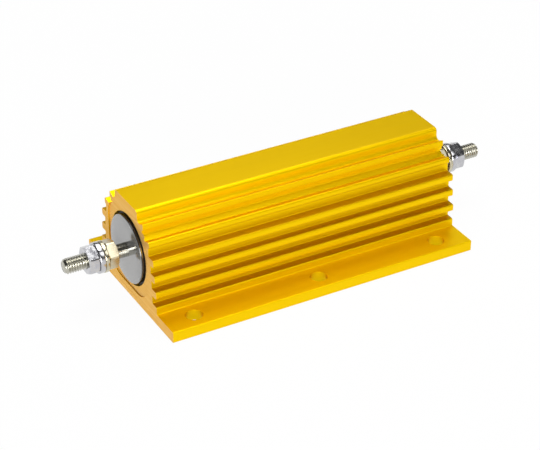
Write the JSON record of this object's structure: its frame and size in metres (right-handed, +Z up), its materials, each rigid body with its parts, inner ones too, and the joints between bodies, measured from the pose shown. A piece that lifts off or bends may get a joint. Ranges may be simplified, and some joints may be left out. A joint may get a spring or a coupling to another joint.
{
  "type": "aluminium housed power resistor",
  "caption": "Wirewound power resistor moulded into a finned, gold anodised aluminium extrusion with drilled mounting flanges and a threaded stud terminal at each end.",
  "frame": {"origin": "centre of the flat underside of the housing", "axes": "+X along the extrusion from the left terminal to the right one, +Y across the flanges, +Z up out of the mounting face"},
  "size_m": [0.1788, 0.0724, 0.0406],
  "materials": {
    "gold_anodised_aluminium": "glossy",
    "core_ceramic": "matte",
    "resistance_alloy": "satin",
    "cap_steel": "satin",
    "nickel_plated_steel": "satin",
    "nickel_plated_brass": "satin",
    "zinc_plated_steel": "satin",
    "black_compound": "matte",
    "grey_seal": "glossy"
  },
  "bodies": {
    "root": {"housing": "gold_anodised_aluminium", "ceramic_core": "core_ceramic", "resistance_winding": "resistance_alloy", "core_cap_left": "cap_steel", "core_cap_right": "cap_steel", "terminal_stud_left": "nickel_plated_steel", "terminal_stud_right": "nickel_plated_steel", "moulding_compound": "black_compound", "end_seal_left": "grey_seal", "end_seal_right": "grey_seal", "inner_nut_left": "nickel_plated_brass", "inner_nut_right": "nickel_plated_brass", "flat_washer_left": "nickel_plated_brass", "flat_washer_right": "nickel_plated_brass", "spring_washer_left": "zinc_plated_steel", "spring_washer_right": "zinc_plated_steel", "outer_nut_left": "zinc_plated_steel", "outer_nut_right": "zinc_plated_steel"}
  },
  "joints": []
}
